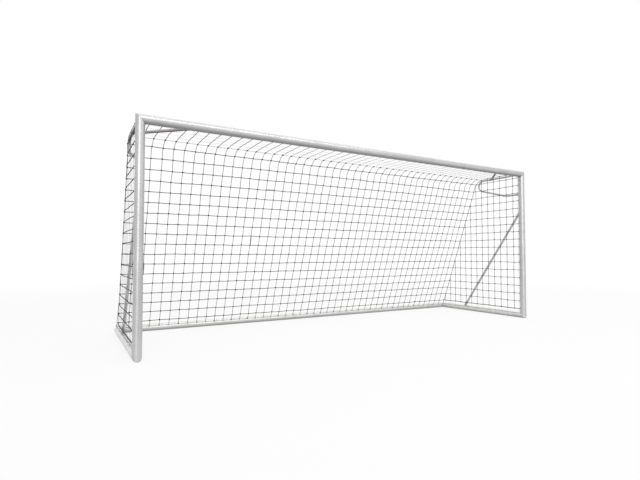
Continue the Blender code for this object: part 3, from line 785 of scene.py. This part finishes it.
def hook_rows():
    """Each tube's hooks: first place on its axis, count, direction along it, sideways and outward."""
    crossbar_out = Vector((0, CROSSBAR_ROPE.x, CROSSBAR_ROPE_RISE)).normalized()
    rear_out = Vector((0, REAR_ROPE.x - AXIS_DEPTH, REAR_ROPE_RISE)).normalized()
    first_x = FIRST_COLUMN_X + MESH
    rows = {
        "crossbar_net_hooks": (
            point(first_x, 0, CROSSBAR_Z), BAR_HOOKS, X_AXIS, X_AXIS.cross(crossbar_out), crossbar_out),
        "rear_bar_net_hooks": (
            point(first_x, AXIS_DEPTH, GROUND_Z), BAR_HOOKS, X_AXIS, rear_out.cross(X_AXIS), rear_out),
    }
    for side, sign in SIDES.items():
        x, reach = SIDE_ROPES[side]
        post_out = Vector((x - sign * POST_X, reach, 0)).normalized()
        bar_out = Vector((x - sign * POST_X, 0, reach)).normalized()
        rows[side + "_post_net_hooks"] = (
            point(sign * POST_X, 0, FIRST_ROW_Z), POST_HOOKS, Z_AXIS,
            sign * Z_AXIS.cross(post_out), post_out)
        rows[side + "_bar_net_hooks"] = (
            point(sign * POST_X, SIDE_FIRST_COLUMN + MESH, GROUND_Z), GROUND_BAR_HOOKS, Y_AXIS,
            sign * bar_out.cross(Y_AXIS), bar_out)
    return rows


def build_hooks(plastic):
    """A row of separate hooks on each tube."""
    model = hook_model()
    for node, (first, count, along, beside, outward) in hook_rows().items():
        turn = Matrix((beside.cross(outward), beside, outward)).transposed().to_4x4()
        copies = []
        for step in range(count):
            place = Matrix.Translation(first + along * HOOK_STEP * step) @ turn
            copies.append(copied(model, f"{node}_{step}", place))
        finished(joined(node + "_row", copies), plastic, "hook", node)
    bpy.data.objects.remove(model)


class Strands:
    """Cords and knots gathered into one mesh, with the lay of the twine as its UV map."""

    def __init__(self):
        self.places = []
        self.faces = []
        self.lay = []

    def cord(self, line, radius, sides=6):
        """Round cord along a line of points, closed at its ends."""
        first = len(self.places)
        normal = across_any((line[1] - line[0]).normalized())
        length = 0.0
        lengths = []
        for number, place in enumerate(line):
            before = line[max(number - 1, 0)]
            after = line[min(number + 1, len(line) - 1)]
            way = (after - before).normalized()
            normal = (normal - way * normal.dot(way)).normalized()
            beside = way.cross(normal)
            length += (place - before).length
            lengths.append(length)
            for side in range(sides):
                angle = 2 * math.pi * side / sides
                spread = normal * math.cos(angle) + beside * math.sin(angle)
                self.places.append(place + spread * radius)
        for ring in range(len(line) - 1):
            for side in range(sides):
                after_side = (side + 1) % sides
                near, far = first + ring * sides, first + (ring + 1) * sides
                self.faces.append((near + side, near + after_side, far + after_side, far + side))
                left, right = side / sides, (side + 1) / sides
                start, end = lengths[ring], lengths[ring + 1]
                self.lay += [(left, start), (right, start), (right, end), (left, end)]
        last = first + (len(line) - 1) * sides
        self.faces.append(tuple(range(first + sides - 1, first - 1, -1)))
        self.faces.append(tuple(range(last, last + sides)))
        self.lay += [(0.5, 0.0)] * sides + [(0.5, length)] * sides

    def copy(self, model, place):
        """Copy of a knot at its place."""
        first = len(self.places)
        self.places += [place @ spot for spot in model.places]
        self.faces += [tuple(first + index for index in face) for face in model.faces]
        self.lay += model.lay

    def piece(self, name):
        """Mesh object of all of it."""
        mesh = bpy.data.meshes.new(name)
        mesh.from_pydata(self.places, [], self.faces)
        layer = mesh.uv_layers.new(name="lay")
        layer.data.foreach_set("uv", [value for pair in self.lay for value in pair])
        mesh.shade_smooth()
        return linked(name, mesh)


def winding(radius, cord, turns, pitch, steps, sides=5):
    """Cord wound round the Z axis, as a knot or a lashing."""
    line = []
    for step in range(steps + 1):
        share = step / steps
        angle = 2 * math.pi * turns * share
        rise = turns * pitch * (share - 0.5)
        line.append(Vector((radius * math.cos(angle), radius * math.sin(angle), rise)))
    made = Strands()
    made.cord(line, cord, sides)
    return made


def pulled(distance):
    """How far the net pulls the rope out between two hooks."""
    return ROPE_PULL * math.sin(math.pi * distance / HOOK_STEP) ** 2


def rope_run(start, end, first_hook, pull):
    """Points of the rope along a tube, pulled out between hooks that start level with a place."""
    way = (end - start).normalized()
    count = round((end - start).length / (MESH / 2))
    line = []
    for step in range(count + 1):
        place = start.lerp(end, step / count)
        line.append(place + pull * pulled((place - first_hook).dot(way)))
    return line


def build_border_rope(twine, knot):
    """Rope through the hooks round the whole mouth and foot of the net, its ends tied at the left foot."""
    left_x, left_reach = SIDE_ROPES["left"]
    right_x, right_reach = SIDE_ROPES["right"]
    up = Vector((0, *(NET_OUTLINE[-2] - REAR_ROPE))).normalized()
    left_foot = point(left_x, left_reach, GROUND_Z + left_reach)
    right_foot = point(right_x, right_reach, GROUND_Z + right_reach)
    post_hooks = Z_AXIS * FIRST_ROW_Z
    cross_hooks = X_AXIS * (FIRST_COLUMN_X + MESH)
    bar_hooks = point(0, SIDE_FIRST_COLUMN + MESH, 0)
    left_post = rope_run(left_foot, point(left_x, left_reach, ROPE_LEAVES_POST), post_hooks, Y_AXIS)
    crossbar = rope_run(point(left_x, *CROSSBAR_ROPE), point(right_x, *CROSSBAR_ROPE), cross_hooks, Y_AXIS)
    right_post = rope_run(point(right_x, right_reach, ROPE_LEAVES_POST), right_foot, post_hooks, Y_AXIS)
    right_bar = rope_run(right_foot, point(right_x, ROPE_LEAVES_BAR, right_foot.z), bar_hooks, Z_AXIS)
    rear_bar = rope_run(point(right_x, *REAR_ROPE), point(ROPE_LIFTS_AT, *REAR_ROPE), cross_hooks, up)
    left_bar = rope_run(point(left_x, ROPE_LEAVES_BAR, left_foot.z), left_foot, bar_hooks, Z_AXIS)
    over_x, over_z = ROPE_OVER_BAR
    border = left_post + crossbar + [point(right_x, *ROPE_UNDER_CROSSBAR)] + right_post + right_bar[1:]
    border += rear_bar + [point(over_x, REAR_ROPE.x, over_z), point(left_x, REAR_ROPE.x, ROPE_LEFT_CORNER_Z)]
    border += left_bar
    strands = Strands()
    strands.cord(rounded(border, ROPE_ROUNDING, 2), ROPE_RADIUS, 8)
    for shift in ROPE_KNOT_SHIFTS:
        strands.copy(knot, standing(left_foot + Vector(shift), Vector(ROPE_KNOT_WAY).normalized()))
    finished(strands.piece("border_rope_line"), twine, "border_cord", "border_rope")


def on_outline(value, axis):
    """Place on the net's outline at a distance behind the post axis (axis 0) or at a height (axis 1)."""
    for before, after in zip(NET_OUTLINE, NET_OUTLINE[1:]):
        low, high = sorted((before[axis], after[axis]))
        if low <= value <= high:
            return before.lerp(after, (value - before[axis]) / (after[axis] - before[axis]))
    return REAR_ROPE


def edge_x(side, height):
    """Line along X of the net's edge: the left one lies outside its bow and leans in below it."""
    if side == "right":
        return NET_RIGHT_X
    return held(height, EDGE_LEANS_FROM, EDGE_LEANS_TO, LEFT_EDGE_TOP_X, LEFT_EDGE_REAR_X)


def build_edge_ropes(twine, knot):
    """Rope along each side's upper and rear edge, tied to the border rope at both ends."""
    for side in SIDES:
        x, _ = SIDE_ROPES[side]
        corner = Vector((REAR_ROPE.x, ROPE_LEFT_CORNER_Z)) if side == "left" else REAR_ROPE
        line = [point(x, *toward(CROSSBAR_ROPE, NET_OUTLINE[1], ROPE_END_GAP))]
        line += [point(edge_x(side, place.y), *place) for place in NET_OUTLINE[1:-1]]
        line.append(point(x, *toward(corner, NET_OUTLINE[-2], ROPE_END_GAP)))
        strands = Strands()
        strands.cord(rounded(line, EDGE_ROPE_ROUNDING, 2), EDGE_ROPE_RADII[side], 8)
        for place in (line[0], line[-1]):
            strands.copy(knot, standing(place, X_AXIS))
        finished(strands.piece(side + "_edge_rope_line"), twine, "net_cord", side + "_edge_rope")


def wandering(chance, spread):
    """Small random step of a knot off its regular place."""
    return Vector([chance.uniform(-size, size) for size in spread])


def strung(strands, knots, chance, radius, sag=0.0):
    """One cord of the net through its knots, a little bent between them."""
    line = [knots[0]]
    for before, after in zip(knots, knots[1:]):
        drop = Vector((0, 0, -sag))
        line.append((before + after) / 2 + wandering(chance, (CORD_DRIFT,) * 3) + drop)
        line.append(after)
    strands.cord(line, radius)


def leaning(way, aside, number, chance):
    """Way of a knot, leaning to one side and to the other by turns."""
    return (way + aside * (1 if number % 2 else -1) * chance.uniform(*KNOT_LEAN)).normalized()


def mended(strands, start, end, aside):
    """Second cord beside a mended side of a mesh."""
    strands.cord([start + aside, (start + end) / 2 + aside * 1.2, end + aside], CORD_RADIUS)


def row_places():
    """Side-view places of the rows from the crossbar's rope over the shoulder to the rear bar's rope."""
    top = [Vector(place) for place in (*TOP_ROWS, SHOULDER_ROW, CORNER_ROW)]
    rear = [on_outline(FIRST_ROW_Z + MESH * row, 1) for row in range(REAR_ROWS - 1, -1, -1)]
    return [CROSSBAR_ROPE] + top + rear + [REAR_ROPE]


def column_line(knots, number, rows, bends):
    """Places of one column through its knots, with the bends of the net that lie between two rows."""
    line = []
    for row in rows:
        spot = knots[number, row]
        line.append(spot)
        line += [point(spot.x, *place) for place in bends.get(row, ()) if row != rows[-1]]
    return line


def build_main_net(twines, knot, thin_knot, lashing):
    """Top and rear of the net, its columns running from the crossbar over the shoulder to the rear bar."""
    chance = random.Random(MAIN_SEED)
    profile = row_places()
    last = len(profile) - 1
    shoulder = len(TOP_ROWS) + 1
    seam = shoulder + 1
    bends = {shoulder: SHOULDER_BENDS, seam: CORNER_BENDS}
    columns = [FIRST_COLUMN_X + MESH * number for number in range(LAST_COLUMN)] + [NET_RIGHT_X]
    first_x = columns[1]
    up = (NET_OUTLINE[-2] - REAR_ROPE).normalized()
    knots = {}
    for number, x in enumerate(columns):
        for row, place in enumerate(profile):
            spot = point(x if number else edge_x("left", place.y), *place)
            if row == 0:
                spot.y += pulled(spot.x - first_x)
            elif row == last:
                spot += Vector((0, up.x, up.y)) * pulled(spot.x - first_x)
            elif 0 < number < LAST_COLUMN:
                rise_drift = TAUT_DRIFT if row < seam else KNOT_DRIFT
                spot += wandering(chance, (KNOT_DRIFT, DEPTH_DRIFT, rise_drift))
            knots[number, row] = spot
    parts = {"top": Strands(), "rear": Strands()}
    for number in range(1, LAST_COLUMN):
        for part, first, final, radius in (
                ("top", 0, shoulder, held(number, *TOP_CORDS_THIN, *TOP_CORD_RADII)),
                ("top", shoulder, seam, CORD_RADIUS), ("rear", seam, last, CORD_RADIUS)):
            strung(parts[part], column_line(knots, number, range(first, final + 1), bends), chance, radius)
    faded_rows = Strands()
    for row in range(1, last):
        line = [knots[number, row] for number in range(LAST_COLUMN + 1)]
        if row < shoulder:
            strung(faded_rows, line, chance, THIN_CORD_RADIUS, ROW_SAG)
        elif row == shoulder:
            strung(parts["top"], line, chance, SHOULDER_CORD_RADIUS, ROW_SAG)
        else:
            strung(parts["rear"], line, chance, ROW_RADIUS, ROW_SAG)
    for (number, row), spot in knots.items():
        part = parts["top" if row < seam else "rear"]
        if row in (0, last):
            if 0 < number < LAST_COLUMN:
                part.copy(lashing, standing(spot, X_AXIS))
            continue
        slope = Vector((0, *(profile[row + 1] - profile[row - 1]))).normalized()
        if number in (0, LAST_COLUMN):
            part.copy(thin_knot if number == 0 and row < seam else knot, standing(spot, slope))
            continue
        tied = standing(spot, leaning(slope, X_AXIS, number + row, chance))
        if row < shoulder:
            faded_rows.copy(thin_knot, tied)
        else:
            part.copy(knot, tied)
    finished(faded_rows.piece("top_netting_rows"), twines["faded"], "border_cord")
    for number, height_row, (across, up_row) in MENDED_SIDES:
        row = last - 1 - height_row
        aside = (Z_AXIS if across else X_AXIS) * MENDING_ASIDE - Y_AXIS * MENDING_FORWARD
        mended(parts["rear"], knots[number, row], knots[number + across, row - up_row], aside)
    for name, part in parts.items():
        finished(part.piece(name + "_netting"), twines["black"], "net_cord", "net_" + name)


def build_side_net(side, twines, knot, lashings):
    """Net of one side, from the post's rope back to the edge rope, tied down below its lowest row."""
    lashing, tie_lashing = lashings
    column_radius, row_radius = SIDE_CORD_RADII[side]
    chance = random.Random(SIDE_SEEDS[side])
    x, reach = SIDE_ROPES[side]
    bottom = GROUND_Z + reach
    heights = [FIRST_ROW_Z + MESH * row for row in range(REAR_ROWS)] + [CORNER_ROW[1]]
    depths = [SIDE_FIRST_COLUMN + SIDE_MESH * number for number in range(1, SIDE_COLUMNS + 1)]
    hook_depth = SIDE_FIRST_COLUMN + MESH
    knots = {}
    for number, depth in enumerate(depths):
        for row, height in enumerate(heights):
            rear_end, upper_end = on_outline(height, 1).x, on_outline(depth, 0).y
            if depth < rear_end - LEAST_END and height < upper_end - LEAST_END:
                lean = max(1 - (rear_end - depth) / LEAN_REACH, 0.0) * (edge_x(side, height) - x)
                drift = wandering(chance, (TAUT_DRIFT, KNOT_DRIFT, KNOT_DRIFT))
                knots[number, row] = point(x + lean, depth, height) + drift
    strands = Strands()
    ties = Strands()
    for number, depth in enumerate(depths):
        foot = point(x, depth, bottom + pulled(depth - hook_depth))
        upper_end = on_outline(depth, 0).y
        head = point(edge_x(side, upper_end), depth, upper_end)
        column = [knots[number, row] for row in range(len(heights)) if (number, row) in knots]
        strung(strands, column + [head], chance, column_radius)
        ties.cord([foot, column[0]], THIN_CORD_RADIUS)
        ties.copy(tie_lashing, standing(foot, Y_AXIS))
        if depth < SHOULDER_ROW[0]:
            strands.copy(lashing if side == "right" else tie_lashing, standing(head, Y_AXIS))
    for row, height in enumerate(heights):
        front = point(x, reach + pulled(height - FIRST_ROW_Z), height)
        rear = point(edge_x(side, height), on_outline(height, 1).x, height)
        between = [knots[number, row] for number in range(SIDE_COLUMNS) if (number, row) in knots]
        radius = LOWEST_ROW_RADIUS if row == 0 else row_radius
        strung(strands, [front] + between + [rear], chance, radius, ROW_SAG)
        strands.copy(lashing, standing(front, Z_AXIS))
    for (number, row), spot in knots.items():
        strands.copy(knot, standing(spot, leaning(Z_AXIS, Y_AXIS, number + row, chance)))
    finished(ties.piece(side + "_side_ties"), twines["faded"], "border_cord")
    finished(strands.piece(side + "_side_netting"), twines["black"], "net_cord", "net_" + side)


def build_net(twines):
    """Ropes and the net with all its cords and knots."""
    knot = winding(KNOT_RADIUS, KNOT_CORD_RADIUS, turns=2.0, pitch=0.0052, steps=11)
    thin_knot = winding(THIN_KNOT_RADIUS, THIN_CORD_RADIUS, turns=2.0, pitch=0.0030, steps=11)
    lashing = winding(ROPE_RADIUS + LASHING_BITE, CORD_RADIUS, turns=1.75, pitch=0.0052, steps=12)
    tie_lashing = winding(
        ROPE_RADIUS + THIN_CORD_RADIUS, THIN_CORD_RADIUS, turns=1.75, pitch=0.0034, steps=12)
    rope_knot = winding(ROPE_KNOT_RADIUS, ROPE_RADIUS, turns=2.0, pitch=0.0044, steps=16, sides=6)
    build_border_rope(twines["white"], rope_knot)
    build_edge_ropes(twines["black"], rope_knot)
    build_main_net(twines, knot, thin_knot, lashing)
    build_side_net("left", twines, thin_knot, (lashing, tie_lashing))
    build_side_net("right", twines, knot, (lashing, tie_lashing))


def dress_hidden_nodes(nodes, cast):
    """Gives the cast joints inside the tubes their own finish."""
    for side in SIDES:
        for place in ("top", "foot", "rear"):
            node = nodes[f"{side}_{place}_corner_joint"]
            for slot in node.material_slots:
                slot.material = cast


def seen(nodes):
    """1 on rays from the camera, mirrors and glass, and 0 on those that only light."""
    found = nodes.node("LightPath", {}, output="Is Camera Ray")
    for kind in ("Is Glossy Ray", "Is Transmission Ray"):
        found = found.maths("MAXIMUM", found, nodes.node("LightPath", {}, output=kind))
    return found


def build_studio():
    """White surroundings, a pale floor and soft lights."""
    world = bpy.data.worlds.new("white_surroundings")
    world.use_nodes = True
    bpy.context.scene.world = world
    nodes = Nodes(world.node_tree)
    background = world.node_tree.nodes["Background"].inputs
    background["Color"].default_value = tone(1.0, 1.0, 1.0)
    visible = seen(nodes)
    nodes.put(background["Strength"], visible + (1 - visible) * WORLD_LIGHT)

    floor = primitive("plane", "studio_floor", size=FLOOR_SIZE)
    bpy.ops.object.mode_set(mode="EDIT")
    bpy.ops.mesh.subdivide(number_cuts=3)
    bpy.ops.object.mode_set(mode="OBJECT")
    pale, nodes, place = finish("pale_floor")
    shader = nodes.tree.nodes["Principled BSDF"]
    shader.inputs["Base Color"].default_value = tone(0.95, 0.95, 0.95)
    shader.inputs["Roughness"].default_value = 0.9
    lit = Link(nodes, shader.outputs[0])
    glow = nodes.node("Emission", {"Color": tone(1.0, 1.0, 1.0), "Strength": 1.0})
    away = nodes.node("VectorMath", {0: place}, {"operation": "LENGTH"}, output="Value")
    whitened = nodes.ramp(away, *FLOOR_WHITENS)
    blended = nodes.node("MixShader", {0: seen(nodes) * whitened, 1: lit, 2: glow})
    nodes.put(nodes.tree.nodes["Material Output"].inputs["Surface"], blended)
    floor.data.materials.append(pale)

    for name, (place, aim, (width, height), power) in LAMPS.items():
        lamp = bpy.data.lights.new(name, "AREA")
        lamp.shape = "RECTANGLE"
        lamp.size = width
        lamp.size_y = height
        lamp.energy = power
        holder = linked(name, lamp)
        holder.location = place
        holder.rotation_euler = (Vector(aim) - Vector(place)).to_track_quat("-Z", "Y").to_euler()


def build_camera():
    """Camera at the photograph's place."""
    lens = bpy.data.cameras.new("photo_camera")
    lens.lens = CAMERA_LENS
    lens.sensor_width = 36.0
    lens.clip_end = 300.0
    camera = linked("photo_camera", lens)
    camera.location = CAMERA_PLACE
    camera.rotation_euler = CAMERA_TURN
    bpy.context.scene.camera = camera


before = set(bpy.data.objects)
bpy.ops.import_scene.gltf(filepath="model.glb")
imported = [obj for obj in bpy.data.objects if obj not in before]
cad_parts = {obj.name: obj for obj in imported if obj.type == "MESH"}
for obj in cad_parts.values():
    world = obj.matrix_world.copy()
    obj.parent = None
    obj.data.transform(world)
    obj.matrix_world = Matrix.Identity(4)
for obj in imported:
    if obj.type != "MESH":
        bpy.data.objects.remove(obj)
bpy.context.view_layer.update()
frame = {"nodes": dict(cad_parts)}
bpy.context.scene.view_settings.view_transform = "Standard"
build_camera()
build_studio()

# Frame tubes: a painted highlight on up-facing faces near the ground, its level set per tube axis, and
# painted shade on the undersides, darkened to the colour below
satin = [
    drawn_aluminium(
        f"satin_aluminium_{letter}", axis, colour=tone(0.53, 0.53, 0.535), shade=tone(0.47, 0.47, 0.475),
        painted_top_light=tone(wear_and_painted_highlight, wear_and_painted_highlight, wear_and_painted_highlight), below=tone(0.24, 0.24, 0.245), roughness=0.36, grime=0.18)
    for axis, (letter, wear_and_painted_highlight) in enumerate((("x", 0.72), ("y", 0.76), ("z", 0.56)))]
finishes = {
    # Lit and shaded copies of one thin-tube aluminium: pale is the lit copy, and the shaded copy is painted
    # darker as shade, with near-black painted shade on its undersides
    "pale": drawn_aluminium(
        "lit_copy_thin_aluminium", 1, colour=tone(0.54, 0.515, 0.525), shade=tone(0.46, 0.44, 0.445),
        painted_top_light=tone(0.60, 0.57, 0.58), below=tone(0.54, 0.52, 0.525), roughness=0.36, grime=0.25),
    "shaded_copy": drawn_aluminium(
        "shaded_copy_thin_aluminium", 1, colour=tone(0.44, 0.42, 0.425), shade=tone(0.37, 0.35, 0.355),
        painted_top_light=tone(0.50, 0.48, 0.485), below=tone(0.085, 0.081, 0.083), roughness=0.38, grime=0.25),
    "welded": welded_aluminium(),
    "steel": zinc_steel(),
}
dress_hidden_nodes(frame["nodes"], cast_aluminium())
build_frame(satin)
screw = screw_model()
build_joint_screws(screw, finishes["steel"])
for side_name, side_sign in SIDES.items():
    build_side(side_name, side_sign, finishes, screw)
bpy.data.objects.remove(screw)
build_hooks(moulded_plastic())
build_net({
    "black": twisted_twine(
        "black_twine", pitch=0.009, groove=tone(0.010, 0.009, 0.011), strand=tone(0.026, 0.023, 0.026),
        faded=tone(0.050, 0.045, 0.047)),
    "faded": twisted_twine(
        "sun_faded_twine", pitch=0.007, groove=tone(0.40, 0.36, 0.37), strand=tone(0.60, 0.56, 0.57),
        faded=tone(0.72, 0.69, 0.70)),
    "white": twisted_twine(
        "white_braided_cord", pitch=0.006, groove=tone(0.52, 0.51, 0.50), strand=tone(0.80, 0.79, 0.78),
        faded=tone(0.70, 0.68, 0.64)),
})
